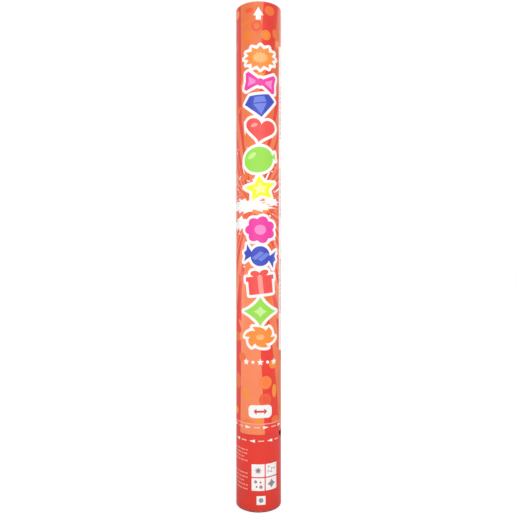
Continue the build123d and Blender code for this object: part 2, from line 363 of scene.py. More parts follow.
# Valve spring, in millimetres, with its wire's radius
SPRING_TURNS = 5
SPRING_WIRE = 0.25
SPRING_END_PITCH = 0.56
SPRING_STEPS = 32
SPRING_ROUND = 12

# Charge, in millimetres: layers of bundles as in the model, each filled with slips that lie askew
LAYERS = 6
BUNDLES = 4
LAYER_TURN = 30.0
BUNDLE_INNER = 8.9
BUNDLE_DEPTH = 7.0
BUNDLE_WIDTH = 17.0
BUNDLE_BOW = (0.4, 2.2)
BUNDLE_CURL = (0.2, 1.8)
BUNDLE_RIPPLE = 0.2
SLIPS = 16
SLIP_WIDTH = 14.8
SLIP_LENGTH = 53.0
SLIP_PAPER = 0.16
SLIP_DRIFT = 0.5
SLIP_TILT = 1.2
SLIP_CLEAR = 0.2
SLIP_ACROSS = 4
SLIP_ALONG = 9
TISSUES = {
    "red": (226, 40, 44), "yellow": (250, 216, 40), "blue": (48, 92, 206), "green": (88, 186, 70),
    "pink": (244, 92, 164), "white": (244, 242, 238),
}
FOILS = {"gold": (236, 190, 88), "silver": (214, 216, 220), "ruby": (214, 44, 70)}

# Seeds of what is strewn, ragged or laid askew
BARREL_SEED = 11
HANDLE_SEED = 5
PAPER_SEED = 21
FOIL_SEED = 22


# Materials
def linear(colour):
    """Linear colour of an 8-bit display colour, with full opacity."""
    shares = [c / 255 for c in colour]
    return tuple(s / 12.92 if s <= 0.04045 else ((s + 0.055) / 1.055) ** 2.4 for s in shares) + (1.0,)


def shade(colour, factor):
    """A linear colour made lighter or darker."""
    return tuple(min(c * factor, 1.0) for c in colour[:3]) + (1.0,)


class Tree:
    """A node tree under way: short calls add nodes and join them."""

    def __init__(self, tree):
        self.tree = tree

    def put(self, socket, value):
        """Join a socket to another one, or set its constant."""
        if isinstance(value, bpy.types.NodeSocket):
            self.tree.links.new(value, socket)
        else:
            socket.default_value = value

    def add(self, kind, inputs=(), **settings):
        """A new node with its settings and, by name or number, its inputs."""
        item = self.tree.nodes.new("ShaderNode" + kind)
        for key, value in settings.items():
            setattr(item, key, value)
        for key, value in dict(inputs).items():
            self.put(item.inputs[key], value)
        return item

    def math(self, operation, first, second=0.0):
        """One step of arithmetic."""
        return self.add("Math", {0: first, 1: second}, operation=operation).outputs[0]

    def spread(self, value, low, high, to_low, to_high):
        """A value moved from one range to another, held at its ends."""
        inputs = {"Value": value, "From Min": low, "From Max": high, "To Min": to_low, "To Max": to_high}
        return self.add("MapRange", inputs).outputs[0]

    def mix(self, share, first, second):
        """A colour between two."""
        return self.add("Mix", {0: share, 6: first, 7: second}, data_type="RGBA").outputs[2]


class Shader(Tree):
    """A material under way, with the object's coordinates."""

    def __init__(self, name, **sockets):
        self.material = bpy.data.materials.new(name)
        self.material.use_nodes = True
        super().__init__(self.material.node_tree)
        self.where = self.add("TexCoord").outputs["Object"]
        self.set(**sockets)

    def set(self, **sockets):
        """Set or join sockets of the surface, with _ for each space in their names."""
        for name, value in sockets.items():
            self.put(self.tree.nodes["Principled BSDF"].inputs[name.replace("_", " ")], value)

    def embossed(self, height, strength, depth):
        """The material with a relief of a depth in millimetres."""
        inputs = {"Height": height, "Strength": strength, "Distance": depth * MM}
        self.set(Normal=self.add("Bump", inputs).outputs[0])
        return self.material

    def axes(self):
        """The object's x, y and z."""
        return self.add("SeparateXYZ", {0: self.where}).outputs

    def noise(self, scale, detail, upright=1):
        """Cloudy noise, with features of about one over the scale, in metres, scaled again along z."""
        where = self.where
        if upright != 1:
            where = self.add("Mapping", {"Vector": where, "Scale": (1, 1, upright)}).outputs[0]
        return self.add("TexNoise", {"Vector": where, "Scale": scale, "Detail": detail}).outputs["Fac"]

    def vary(self, cloud, low, high):
        """Most of a noise's range, moved to another range."""
        return self.spread(cloud, 0.3, 0.7, low, high)

    def uneven(self, cloud, colour, dark, light):
        """A colour that a noise makes darker and lighter."""
        return self.mix(self.vary(cloud, 0, 1), shade(colour, dark), shade(colour, light))

    def away(self, value, level):
        """How far a value is from a level."""
        return self.math("ABSOLUTE", self.math("SUBTRACT", value, level))


def ink(name):
    """Gloss-coated printing ink, cloudy if it is a ground ink."""
    # The painted shadow under the seam has no gloss
    shader = Shader("ink_" + name, **(MATT_GLOSS if name == SEAM_SHADOW_INK else INK_GLOSS))
    shader.set(Base_Color=ground(shader, name) if name in GROUND_TOPS else linear(INKS[name]))
    shader.set(Roughness=shader.vary(shader.noise(55, 4), 0.34, 0.46))
    fine = shader.math("MULTIPLY", shader.noise(2600, 2), 0.35)
    return shader.embossed(shader.math("ADD", shader.noise(420, 2), fine), strength=0.12, depth=0.06)


def ground(shader, name):
    """Colour of a ground ink: cloudy, changing with height, and flaking at the popper's ends; on the
    handle the darker foot is painted shade.
    """
    height = shader.axes()["Z"]
    # On the handle the red darkens towards the foot: painted shade
    start, end = HANDLE_SHADE_RISE if name == "handle_red" else BARREL_RISE
    rise = shader.spread(height, start * MM, end * MM, 0, 1)
    cloud = shader.math("ADD", shader.noise(30, 4), shader.noise(900, 2))
    cloud = shader.spread(cloud, 0.75, 1.25, 0, 1)
    tones = []
    for colour in (linear(INKS[name]), linear(GROUND_TOPS[name])):
        tones.append(shader.mix(cloud, shade(colour, GROUND_DARK), shade(colour, GROUND_LIGHT)))
    near = []
    for level in (BARREL_TOP, HANDLE_BOTTOM):
        near.append(shader.spread(shader.away(height, level * MM), 0, SCUFF_REACH * MM, 1, 0))
    scuffed = shader.math("MULTIPLY", shader.math("MAXIMUM", *near), shader.noise(700, 5))
    flakes = shader.spread(scuffed, 0.42, 0.5, 0, 0.5)
    return shader.mix(flakes, shader.mix(rise, *tones), linear(INKS["white"]))


def paper_edge():
    """Bare cut edge and glued back of the wrap."""
    shader = Shader("paper_edge", Roughness=0.85)
    fibre = shader.noise(1500, 4)
    shader.set(Base_Color=shader.mix(fibre, linear((196, 146, 126)), linear((226, 192, 174))))
    return shader.embossed(fibre, strength=0.3, depth=0.1)


def plastic(name, colour, roughness, strength=0.25):
    """Moulded plastic with a fine tool texture and a slightly uneven tone."""
    shader = Shader(name, Specular_IOR_Level=0.45)
    shader.set(Base_Color=shader.uneven(shader.noise(110, 3, upright=0.2), linear(colour), 0.96, 1.03))
    grain = shader.noise(2200, 3)
    shader.set(Roughness=shader.vary(grain, roughness - 0.07, roughness + 0.09))
    return shader.embossed(grain, strength, depth=0.08)


def board(name, colour, wound=False):
    """Board with fibres and flecks; a wound tube also shows its plies and its spiral joint."""
    colour = linear(colour)
    shader = Shader(name, Roughness=0.88, Specular_IOR_Level=0.25)
    fibre = shader.noise(600, 5, upright=3)
    tone = shader.uneven(fibre, colour, 0.82, 1.14)
    flecks = shader.spread(shader.noise(1700, 2), 0.66, 0.72, 0, 0.5)
    tone = shader.mix(flecks, tone, shade(colour, 0.45))
    relief = fibre
    if wound:
        plies, joint = winding(shader)
        tone = shader.mix(plies, tone, shade(colour, 0.4))
        tone = shader.mix(shader.math("MULTIPLY", joint, 0.6), tone, shade(colour, 0.4))
        relief = shader.math("SUBTRACT", fibre, joint)
    shader.set(Base_Color=tone)
    return shader.embossed(relief, strength=0.4, depth=0.15)


def winding(shader):
    """Where a wound tube shows the lines between its plies, and its spiral joint."""
    x, y, z = shader.axes()
    square = shader.math("ADD", shader.math("MULTIPLY", x, x), shader.math("MULTIPLY", y, y))
    ply = shader.math("FRACT", shader.math("DIVIDE", shader.math("SQRT", square), PLY * MM))
    turn = shader.math("DIVIDE", shader.math("ARCTAN2", y, x), 2 * math.pi)
    climb = shader.math("FRACT", shader.math("ADD", turn, shader.math("DIVIDE", z, SPIRAL_PITCH * MM)))
    plies = shader.spread(shader.away(ply, 0.5), 0.05, 0.16, 0.55, 0)
    return plies, shader.spread(shader.away(climb, 0.5), 0, 0.008, 1, 0)


def foam():
    """Off-white packing foam with closed cells."""
    colour = linear((236, 234, 228))
    shader = Shader("foam", Roughness=0.8, Specular_IOR_Level=0.3)
    cell = shader.add("TexVoronoi", {"Vector": shader.where, "Scale": 620}).outputs["Distance"]
    tone = shader.mix(shader.spread(cell, 0, 0.75, 0, 1), shade(colour, 0.86), shade(colour, 1.02))
    cloud = shader.spread(shader.noise(90, 3), 0.35, 0.65, 0, 0.25)
    shader.set(Base_Color=shader.mix(cloud, tone, shade(colour, 0.9)))
    return shader.embossed(cell, strength=0.7, depth=0.4)


def metal(name, colour, roughness, ring):
    """Turned or drawn metal with fine rings round the popper's axis, at a pitch in millimetres."""
    shader = Shader(name, Metallic=1.0)
    lines = shader.math("SINE", shader.math("MULTIPLY", shader.axes()["Z"], 2 * math.pi / (ring * MM)))
    smear = shader.noise(180, 4)
    shader.set(Base_Color=shader.uneven(smear, linear(colour), 0.82, 1.06))
    shader.set(Roughness=shader.vary(smear, roughness - 0.06, roughness + 0.1))
    return shader.embossed(shader.math("ADD", lines, shader.noise(900, 2)), strength=0.15, depth=0.03)


def rubber():
    """Black moulded rubber with a dusty bloom."""
    shader = Shader("rubber", Specular_IOR_Level=0.35)
    bloom = shader.noise(300, 4)
    dust = shader.spread(bloom, 0.5, 0.75, 0, 0.4)
    shader.set(Base_Color=shader.mix(dust, linear((44, 43, 44)), linear((92, 90, 88))))
    shader.set(Roughness=shader.vary(bloom, 0.55, 0.75))
    return shader.embossed(bloom, strength=0.2, depth=0.05)


def tissue(name, colour):
    """Dyed tissue, soft and slightly crumpled."""
    shader = Shader("tissue_" + name, Roughness=0.9, Specular_IOR_Level=0.15)
    fibre = shader.noise(900, 4)
    shader.set(Base_Color=shader.uneven(fibre, linear(colour), 0.86, 1.1))
    return shader.embossed(shader.math("ADD", shader.noise(140, 2), fibre), strength=0.25, depth=0.4)


def foil(name, colour):
    """Metallised film, mirror bright with soft creases."""
    shader = Shader("foil_" + name, Metallic=1.0)
    crease = shader.noise(120, 3)
    shader.set(Base_Color=shader.uneven(crease, linear(colour), 0.85, 1.0))
    shader.set(Roughness=shader.vary(crease, 0.12, 0.3))
    return shader.embossed(crease, strength=0.5, depth=0.6)


# Flat shapes
def polar(radius, degrees):
    """A flat point at a radius and an angle."""
    return radius * math.cos(math.radians(degrees)), radius * math.sin(math.radians(degrees))


def beyond(middle, radius, degrees):
    """A flat point at a radius and an angle from another."""
    u, z = polar(radius, degrees)
    return middle[0] + u, middle[1] + z


def placed(points, centre, width=2.0, height=2.0, tilt=0.0):
    """A shape drawn between -1 and 1, scaled to a width and height, tilted and moved."""
    cosine, sine = polar(1, tilt)
    scaled = [(u * width / 2, z * height / 2) for u, z in points]
    return [(centre[0] + u * cosine - z * sine, centre[1] + u * sine + z * cosine) for u, z in scaled]


def oval(centre, width, height, tilt=0.0, count=28):
    """An ellipse."""
    return placed([polar(1, 360 * k / count) for k in range(count)], centre, width, height, tilt)


def box(left, bottom, right, top):
    """A plain rectangle."""
    return [(left, bottom), (right, bottom), (right, top), (left, top)]


def rounded_box(left, bottom, right, top, corner, steps=5):
    """A rectangle with round corners."""
    middles = box(left + corner, bottom + corner, right - corner, top - corner)
    points = []
    for quarter, middle in enumerate(middles[2:] + middles[:2]):
        points += [beyond(middle, corner, 90 * quarter + 90 / steps * step) for step in range(steps + 1)]
    return points


def ribbon(start, length, width, waves, swing, tilt, steps=10):
    """A wavy streamer, from its start along a tilted line."""
    shares = [k / (steps * waves) for k in range(steps * waves + 1)]
    line = [(length * share, swing * math.sin(2 * math.pi * waves * share)) for share in shares]
    edge = [(u, z - width / 2) for u, z in line] + [(u, z + width / 2) for u, z in reversed(line)]
    return placed(edge, start, tilt=tilt)


def burst(count, inner):
    """A star between -1 and 1 with a number of points."""
    return [polar(inner if k % 2 else 1, 90 + 180 * k / count) for k in range(2 * count)]


def scallop(count, depth, steps=12):
    """A round flower between -1 and 1."""
    points = []
    for angle in (360 * k / (steps * count) for k in range(steps * count)):
        points.append(polar(1 - depth + depth * abs(math.sin(math.radians(angle * count / 2))), angle))
    return points


def heart(count=48):
    """A heart between -1 and 1: the usual curve of cosines, moved and scaled."""
    points = []
    for t in (2 * math.pi * k / count for k in range(count)):
        height = 13 * math.cos(t) - 5 * math.cos(2 * t) - 2 * math.cos(3 * t) - math.cos(4 * t)
        points.append((math.sin(t) ** 3, (height + 2.5) / 14.5))
    return points


def sparkle(power, count=48):
    """A four-pointed star with hollow sides, between -1 and 1."""
    circle = oval((0, 0), 2, 2, count=count)
    return [tuple(math.copysign(abs(c) ** power, c) for c in point) for point in circle]


def pinwheel(blades, hub, steps=8, swell=0.7, lean=0.98):
    """A wheel of slanted blades, between -1 and 1."""
    points = []
    for blade in range(blades):
        for share in (step / steps for step in range(steps + 1)):
            points.append(polar(hub + (1 - hub) * share ** swell, (blade + share * lean) * 360 / blades))
    return points


def mirrored(points):
    """A shape turned left for right."""
    return [(-u, z) for u, z in reversed(points)]


def dense(points, spacing):
    """The edge of a shape with points at most so far apart."""
    found = []
    for (u, z), (next_u, next_z) in zip(points, points[1:] + points[:1]):
        steps = max(1, math.ceil(math.hypot(next_u - u, next_z - z) / spacing))
        found += [(u + (next_u - u) * k / steps, z + (next_z - z) * k / steps) for k in range(steps)]
    return found


def swollen(points, margin, spacing=0.5, count=64):
    """The line at a margin round a shape whose whole edge is in sight of its middle."""
    middle = [sum(values) / len(points) for values in zip(*points)]
    edge = [(u - middle[0], z - middle[1]) for u, z in dense(points, spacing)]
    outline = []
    for du, dz in (polar(1, 360 * k / count) for k in range(count)):
        reach = 0.0
        for u, z in edge:
            across = u * dz - z * du
            if abs(across) < margin:
                reach = max(reach, u * du + z * dz + math.sqrt(margin ** 2 - across ** 2))
        outline.append((middle[0] + reach * du, middle[1] + reach * dz))
    return outline


def clipped(points, area):
    """The part of a shape inside a rectangle given as left, bottom, right and top."""
    for axis, limit, sign in ((0, area[0], 1), (1, area[1], 1), (0, area[2], -1), (1, area[3], -1)):
        kept = []
        for here, after in zip(points, points[1:] + points[:1]):
            inside = (here[axis] - limit) * sign
            inside_after = (after[axis] - limit) * sign
            if inside >= 0:
                kept.append(here)
            if inside * inside_after < 0:
                share = inside / (inside - inside_after)
                kept.append(tuple(a + (b - a) * share for a, b in zip(here, after)))
        points = kept
    return points


def signed_area(points):
    """Area of a flat shape, positive where its points run anticlockwise."""
    pairs = zip(points, points[1:] + points[:1])
    return sum(u * next_z - next_u * z for (u, z), (next_u, next_z) in pairs) / 2


# Party motifs, each drawn between -1 and 1: the pieces in the main ink, then accents in the light one
BOW_WING = [(0.04, -0.2), (0.8, -1.0), (0.97, -0.8), (0.9, 0), (0.97, 0.8), (0.8, 1.0), (0.04, 0.2)]
BOW_FOLD = [(0.3, -0.12), (0.75, -0.5), (0.7, 0), (0.75, 0.5), (0.3, 0.12)]
GEM = [(-0.6, 0.95), (-1, 0.3), (0, -1), (1, 0.3), (0.6, 0.95)]
GEM_TABLE = [(-0.42, 0.3), (0.42, 0.3), (0.3, 0.8), (-0.3, 0.8)]
GEM_FACET = [(-0.42, 0.2), (0, -0.8), (0.42, 0.2)]
CANDY_END = [(0.4, 0), (0.9, -0.85), (0.86, -0.3), (1, 0), (0.86, 0.3), (0.9, 0.85)]
CANDY_STRIPE = box(-0.9, -0.16, 0.9, 0.16)
KNOT = [(0.7, 0), (1, -0.3), (1, 0.3)]
MOTIFS = {
    "burst": ([burst(12, 0.72)], [placed(burst(12, 0.72), (0, 0), 1.0, 1.0)]),
    "bow": ([BOW_WING, mirrored(BOW_WING), oval((0, 0), 0.46, 0.8)], [BOW_FOLD, mirrored(BOW_FOLD)]),
    "gem": ([GEM], [GEM_TABLE, GEM_FACET]),
    "heart": ([heart()], [oval((-0.45, 0.42), 0.5, 0.3, 40)]),
    "balloon": ([oval((-0.1, 0), 1.8, 2.0), KNOT], [oval((-0.45, 0.42), 0.62, 0.34, 35)]),
    "star": ([burst(5, 0.5)], [placed(burst(5, 0.5), (0, 0), 0.9, 0.9)]),
    "flower": ([scallop(7, 0.2)], [oval((0, 0), 0.72, 0.72)]),
    "candy": (
        [CANDY_END, mirrored(CANDY_END), oval((0, 0), 1.1, 1.9)],
        [placed(CANDY_STRIPE, (u, 0), 1.0, 1.6, 64) for u in (-0.14, 0.2)],
    ),
    "gift": (
        [box(-0.84, -1, 0.84, 0.3), box(-1, 0.14, 1, 0.52), oval((-0.3, 0.74), 0.66, 0.5, -24),
         oval((0.3, 0.74), 0.66, 0.5, 24)],
        [box(-0.16, -1, 0.16, 0.52)],
    ),
    "sparkle": ([sparkle(2.7)], [placed(sparkle(2.7), (0, 0), 0.8, 0.8)]),
    "pinwheel": ([pinwheel(6, 0.62)], [oval((0, 0), 0.5, 0.5)]),
}

# Plain marks in the handle's four squares and in the small one, with their inks
SQUARE_MARKS = (
    (placed(burst(8, 0.45), (-0.6, 47.5), 9, 9), "line_grey"),
    (oval((-0.6, 47.5), 2.2, 2.2), "line_red"),
    (ribbon((11.0, 44.6), 10.5, 1.2, 2, 1.7, 32), "line_grey"),
    (oval((12, 51.4), 1.8, 1.8), "line_red"),
    (oval((-3.4, 34.8), 3.6, 3.6), "line_grey"),
    (oval((2.2, 34.2), 2.2, 2.2), "line_red"),
    (oval((-2.2, 29.2), 2.2, 2.2), "line_red"),
    (oval((2.6, 29.0), 4.0, 4.0), "line_grey"),
    (placed(sparkle(2.6), (15.7, 31.8), 11, 11), "line_grey"),
    (oval((15.7, 31.8), 1.8, 1.8), "line_red"),
)
SMALL_MARK = placed(scallop(5, 0.3), (2.85, 13.75), 6.0, 6.0)


# Prints
class Print:
    """A sheet of flat artwork: shapes in the order they are painted, each over the ones before."""

    LEAST_AREA = 0.02

    def __init__(self, bottom, top, ground_ink):
        self.area = (SHEET_LEFT, bottom, SHEET_RIGHT, top)
        self.art = []
        self.paint(box(*self.area), ground_ink)

    def paint(self, points, name, area=None):
        """Lay a shape over what is there, cut to the sheet or to a part of it."""
        shape = clipped(points, area or self.area)
        turned = signed_area(shape)
        if abs(turned) > self.LEAST_AREA:
            self.art.append((shape if turned > 0 else shape[::-1], name))

    def ray(self, middle, start, end, name, area):
        """A wedge of colour from a point to the edge of its area."""
        far = 2 * BARREL_TOP
        self.paint([middle, beyond(middle, far, start), beyond(middle, far, end)], name, area)

    def fan(self, middle, area, rng):
        """Rays all round a point: chosen stripes straight up and down, and uneven rays beside them."""
        up = 90 + STRIPES_LEFT
        down = 270 - STRIPES_LEFT
        sides = [(up, down)]
        for name, width in STRIPES:
            self.ray(middle, up - width, up, name, area)
            self.ray(middle, down, down + width, name, area)
            up -= width
            down += width
        sides.append((down - 360, up))
        edge = (middle[0] + EDGE_SHIFT, middle[1])
        self.ray(edge, 90 + EDGE_START, 90 + EDGE_END, "ray_red", area)
        self.ray(edge, 270 - EDGE_END, 270 - EDGE_START, "ray_red", area)
        for start, end in sides:
            number = 0
            while start < end:
                warm = number % 2 == 1
                width = rng.uniform(*(WARM_RAY if warm else RED_RAY))
                name = WARM_INKS[number // 2 % 2] if warm else "ray_red"
                self.ray(middle, start, min(start + width, end), name, area)
                start += width
                number += 1

    def piece(self, kind, name, centre, width, height, tilt, area=None):
        """One piece of printed confetti: an oval, a coin with a ring on it, or a slip."""
        shape = oval(centre, width, height, tilt)
        if kind == "slip":
            corner = SLIP_CORNER * min(width, height)
            shape = rounded_box(-width / 2, -height / 2, width / 2, height / 2, corner)
            shape = placed(shape, centre, tilt=tilt)
        self.paint(shape, name, area)
        if kind == "coin":
            ring = "dot_peach" if name in PEACH_RINGS else "dot_orange"
            for share, tone in ((RING_OUTER, ring), (RING_INNER, name)):
                self.paint(oval(centre, share * width, share * height, tilt), tone, area)

    def strewn(self, area, count, rng):
        """Pieces of confetti strewn over a part of the sheet, clear of the front's own."""
        for _ in range(count):
            centre = (rng.uniform(area[0], area[2]), rng.uniform(area[1], area[3]))
            name = rng.choice(STREWN_INKS)
            kind = rng.choice(STREWN_KINDS)
            size = rng.uniform(*STREWN_SIZE)
            tilt = rng.uniform(0, 180)
            wide, tall = STREWN_SHARES.get(kind, (1, 1))
            if abs(centre[0]) >= STREWN_CLEAR or PANEL_BOTTOM < centre[1] < PANEL_TOP:
                self.piece(kind, name, centre, wide * size, tall * size, tilt, area)

    def splash(self, middle, area, rng):
        """A ragged white flash, wider than it is tall, with streaks and specks flying from it."""
        for _ in range(STREAKS):
            angle = rng.uniform(0, 360)
            near = rng.uniform(*STREAK_NEAR)
            length = rng.uniform(*STREAK_LENGTH)
            width = rng.uniform(*STREAK_WIDTH)
            name = rng.choice(STREAK_INKS)
            centre = beyond(middle, near + length / 2, angle)
            self.paint(oval(centre, length, width, angle, FLECK_POINTS), name, area)
        for du, dz, wide, tall, spikes in FLASHES:
            ragged = []
            for k in range(2 * spikes):
                reach = rng.uniform(*(FLASH_NOTCH if k % 2 else FLASH_TIP))
                turn = k + rng.uniform(-FLASH_UNEVEN, FLASH_UNEVEN)
                ragged.append(polar(reach, 180 * turn / spikes))
            centre = (middle[0] + du, middle[1] + dz)
            self.paint(placed(ragged, centre, 2 * wide, 2 * tall), "white", area)
        for _ in range(SPECKS):
            reach = SPECK_NEAR + SPECK_SPREAD * rng.random() ** SPECK_CROWDING
            centre = beyond(middle, reach, rng.uniform(0, 360))
            size = rng.uniform(*SPECK_SIZE)
            self.paint(oval(centre, size, size, 0, FLECK_POINTS), "white", area)

    def bars(self, start, end, height, stroke, name, rng, upright=False):
        """A line of plain bars of uneven length, lying across the print or standing along it."""
        while start < end - BAR_ROOM:
            stop = min(start + rng.uniform(*BAR_LENGTH), end)
            bar = box(start, height - stroke / 2, stop, height + stroke / 2)
            self.paint([(z, u) for u, z in bar] if upright else bar, name)
            start = stop + BAR_GAP

    def turn_marks(self, height, first, pointing, gap=None):
        """Triangles that show which way to twist, with short bars between them, all round."""
        step = ROUND / TURN_MARKS
        reach = ((TURN_BARS - 1) * TURN_BAR_PITCH + TURN_BAR_LENGTH) / 2
        rise = TURN_BAR_HEIGHT / 2
        for k in range(TURN_MARKS + 1):
            middle = SHEET_LEFT + first + k * step
            if k != gap:
                shape = placed(TURN_TRIANGLE, (middle, height), pointing * TURN_LENGTH, TURN_HEIGHT)
                self.paint(shape, "white")
            for bar in range(TURN_BARS):
                left = middle + step / 2 - reach + TURN_BAR_PITCH * bar
                self.paint(box(left, height - rise, left + TURN_BAR_LENGTH, height + rise), "line_light")


def panel(sheet, rng):
    """The white panel, with bold bars in its first column and fine ones in the others."""
    sheet.paint(rounded_box(PANEL_LEFT, PANEL_BOTTOM, PANEL_RIGHT, PANEL_TOP, PANEL_CORNER), "white")
    first = PANEL_LEFT + PANEL_FIRST
    for low, high in BOLD_BARS:
        sheet.bars(low, high, first, BOLD_STROKE, "line_red", rng, upright=True)
    for line in range(1, PANEL_LINES + 1):
        shorter = PANEL_SHORTER if line % 4 == 3 else 0
        end = PANEL_TOP - PANEL_MARGIN - shorter * rng.random()
        u = first + PANEL_PITCH * line
        sheet.bars(PANEL_BOTTOM + PANEL_MARGIN, end, u, PANEL_STROKE, "line_red", rng, upright=True)


def columns(sheet):
    """The columns of motifs in front and behind, with all white margins under all motifs."""
    turned = COLUMN[0][2] + COLUMN[-1][2] + BACK_SHIFT
    rows = [(kind, name, (COLUMN_U, height), *size) for kind, name, height, *size in COLUMN]
    rows += [(kind, name, (BACK_U, turned - height), *size) for kind, name, height, *size in COLUMN]
    for kind, _, *place in rows:
        for shape in MOTIFS[kind][0]:
            sheet.paint(swollen(placed(shape, *place), COLUMN_OUTLINE), "white")
    for kind, name, *place in rows:
        for shapes, tone in zip(MOTIFS[kind], (name, name + "_light")):
            for shape in shapes:
                sheet.paint(placed(shape, *place), tone)


def barrel_print():
    """Rays and confetti all round, the columns and the panel on them, and the small prints."""
    rng = random.Random(BARREL_SEED)
    sheet = Print(BARREL_BOTTOM, BARREL_TOP, "ray_red")
    fans = ((FAN_MIDDLE, SHEET_LEFT, FAN_SPLIT), (BACK_FAN_MIDDLE, FAN_SPLIT, SHEET_RIGHT))
    for middle, left, right in fans:
        area = (left, BARREL_BOTTOM, right, BARREL_TOP)
        sheet.fan(middle, area, rng)
        for bottom, top, count in STREWN:
            sheet.strewn((left, bottom, right, top), count, rng)
        sheet.splash(middle, area, rng)
    for row in CONFETTI:
        sheet.piece(*row)
    panel(sheet, rng)
    columns(sheet)
    sheet.paint(placed(POINTER, POINTER_FOOT), "white")
    for k in range(STAR_ROW):
        place = (COLUMN_U + STAR_PITCH * (k - STAR_ROW // 2), STAR_ROW_HEIGHT)
        star = placed(burst(5, STAR_WAIST), place, STAR_SIZE, STAR_SIZE)
        sheet.paint(oval(place, DOT_SIZE, DOT_SIZE) if k % 2 else star, "white")
    sheet.paint(rounded_box(*BADGE, BADGE_CORNER), "white")
    sheet.paint(placed(ARROW, ARROW_MIDDLE), "line_red")
    # A pale band round the barrel: a painted highlight of an edge catching the light
    sheet.paint(box(SHEET_LEFT, CREASE_HIGHLIGHT[0], SHEET_RIGHT, CREASE_HIGHLIGHT[1]), "line_pale")
    sheet.turn_marks(*BARREL_MARKS, pointing=1)
    return sheet


def handle_print():
    """Plain red with turn marks, lines of bars, white squares with plain marks, and a dark mark of
    painted shadow under the seam.
    """
    rng = random.Random(HANDLE_SEED)
    sheet = Print(HANDLE_BOTTOM, HANDLE_TOP, "handle_red")
    sheet.turn_marks(*HANDLE_MARKS, pointing=-1, gap=HANDLE_GAP)
    for lines, top, pitch in LINE_BLOCKS:
        for line in range(lines):
            right = LINES_RIGHT - (LINES_SHORTER if line % 3 == 2 else 0)
            sheet.bars(LINES_LEFT, right, top - pitch * line, LINES_STROKE, "line_rose", rng)
    for left in SQUARE_LEFTS:
        for bottom in SQUARE_BOTTOMS:
            right, top = left + SQUARE_WIDTH, bottom + SQUARE_HEIGHT
            sheet.paint(rounded_box(left, bottom, right, top, SQUARE_CORNER), "white")
    for shape, name in SQUARE_MARKS:
        sheet.paint(shape, name)
    sheet.paint(rounded_box(*SMALL_SQUARE, SMALL_CORNER), "white")
    sheet.paint(SMALL_MARK, "line_grey")
    # A dark matt mark under the seam: painted shadow of the gap between the tubes
    left, right = SEAM_SHADOW_U - SEAM_SHADOW_WIDTH / 2, SEAM_SHADOW_U + SEAM_SHADOW_WIDTH / 2
    upper = [(right, SEAM_SHADOW_SHOULDER), (right, HANDLE_TOP), (left, HANDLE_TOP), (left, SEAM_SHADOW_SHOULDER)]
    sheet.paint([(SEAM_SHADOW_U, SEAM_SHADOW_TIP)] + upper, SEAM_SHADOW_INK)
    return sheet


# Pieces
def mesh_piece(name, points, faces, materials, slots=None, smooth=None):
    """A new mesh in the scene, with each face's material slot and whether it is smooth."""
    mesh = bpy.data.meshes.new(name)
    mesh.from_pydata(points, [], faces)
    for material in materials:
        mesh.materials.append(material)
    if slots:
        mesh.polygons.foreach_set("material_index", slots)
    if smooth:
        mesh.polygons.foreach_set("use_smooth", smooth)
    piece = bpy.data.objects.new(name, mesh)
    bpy.context.scene.collection.objects.link(piece)
    return piece


def dress(piece, body, node):
    """Let a piece move with a body and stand for a node, which is hidden."""
    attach(piece, body)
    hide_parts(node)


def ring_quads(rings, around, first=0):
    """Faces between rings of points that follow each other from a first number."""
    faces = []
    for start in range(first, first + (rings - 1) * around, around):
        for k in range(around):
            a, b = start + k, start + (k + 1) % around
            faces.append((a, b, b + around, a + around))
    return faces


def rim_edges(faces):
    """The edges that only one face has, each along that face."""
    edges = {(a, b) for face in faces for a, b in zip(face, face[1:] + face[:1])}
    return sorted((a, b) for a, b in edges if (b, a) not in edges)


def lap_lift(u):
    """How far the wrap stands off the tube where its end laps over its start."""
    share = min(max((u - (SHEET_RIGHT - LAP_WIDTH - LAP_RAMP)) / LAP_RAMP, 0), 1)
    return LAP_RISE * share * share * (3 - 2 * share)


def outward(u):
    """The direction straight out of the tube."""
    return Vector((math.sin(u / RADIUS), -math.cos(u / RADIUS), 0))


def wrapped(spot, depth):
    """A spot of the flat print on the tube, at a depth under its face, in metres."""
    reach = (RADIUS + lap_lift(spot.x) - depth) * MM
    angle = spot.x / RADIUS
    return Vector((reach * math.sin(angle), -reach * math.cos(angle), spot.y * MM))


def flat_triangles(sheet, cuts, levels):
    """Flat points, triangles and the ink of each, with straight cuts across and along the sheet."""
    left, bottom, right, top = sheet.area
    points = []
    faces = []
    for shape, _ in sheet.art:
        faces.append(list(range(len(points), len(points) + len(shape))))
        points += shape
    lines = []
    for line in [((u, bottom), (u, top)) for u in cuts] + [((left, z), (right, z)) for z in levels]:
        lines.append((len(points), len(points) + 1))
        points += line
    spots = [Vector(p) for p in points]
    flat, _, found, _, _, owners = delaunay_2d_cdt(spots, lines, faces, KEEP_INSIDE, MERGE, True)
    return flat, [list(f) for f in found], [sheet.art[max(o)][1] for o in owners]


def back_triangles(spots, rim, cuts):
    """Triangles on the rim's points alone, turned over, in strips between the cuts."""
    lines = list(rim)
    for u in cuts:
        ends = [k for k, spot in enumerate(spots) if abs(spot.x - u) < NEAR]
        ends.sort(key=lambda k: spots[k].y)
        lines.append((ends[0], ends[-1]))
    found, _, faces, _, _, _ = delaunay_2d_cdt(spots, lines, [], KEEP_HULL, MERGE, True)
    assert len(found) == len(spots), (len(found), len(spots))
    return [face[::-1] for face in faces]


def map_spot(column, row, across, up):
    """A place in a cell of the map, by its shares across and up the cell."""
    span = MAP_CELL - 2 * MAP_PAD
    return column * MAP_CELL + MAP_PAD + across * span, row * MAP_CELL + MAP_PAD + up * span


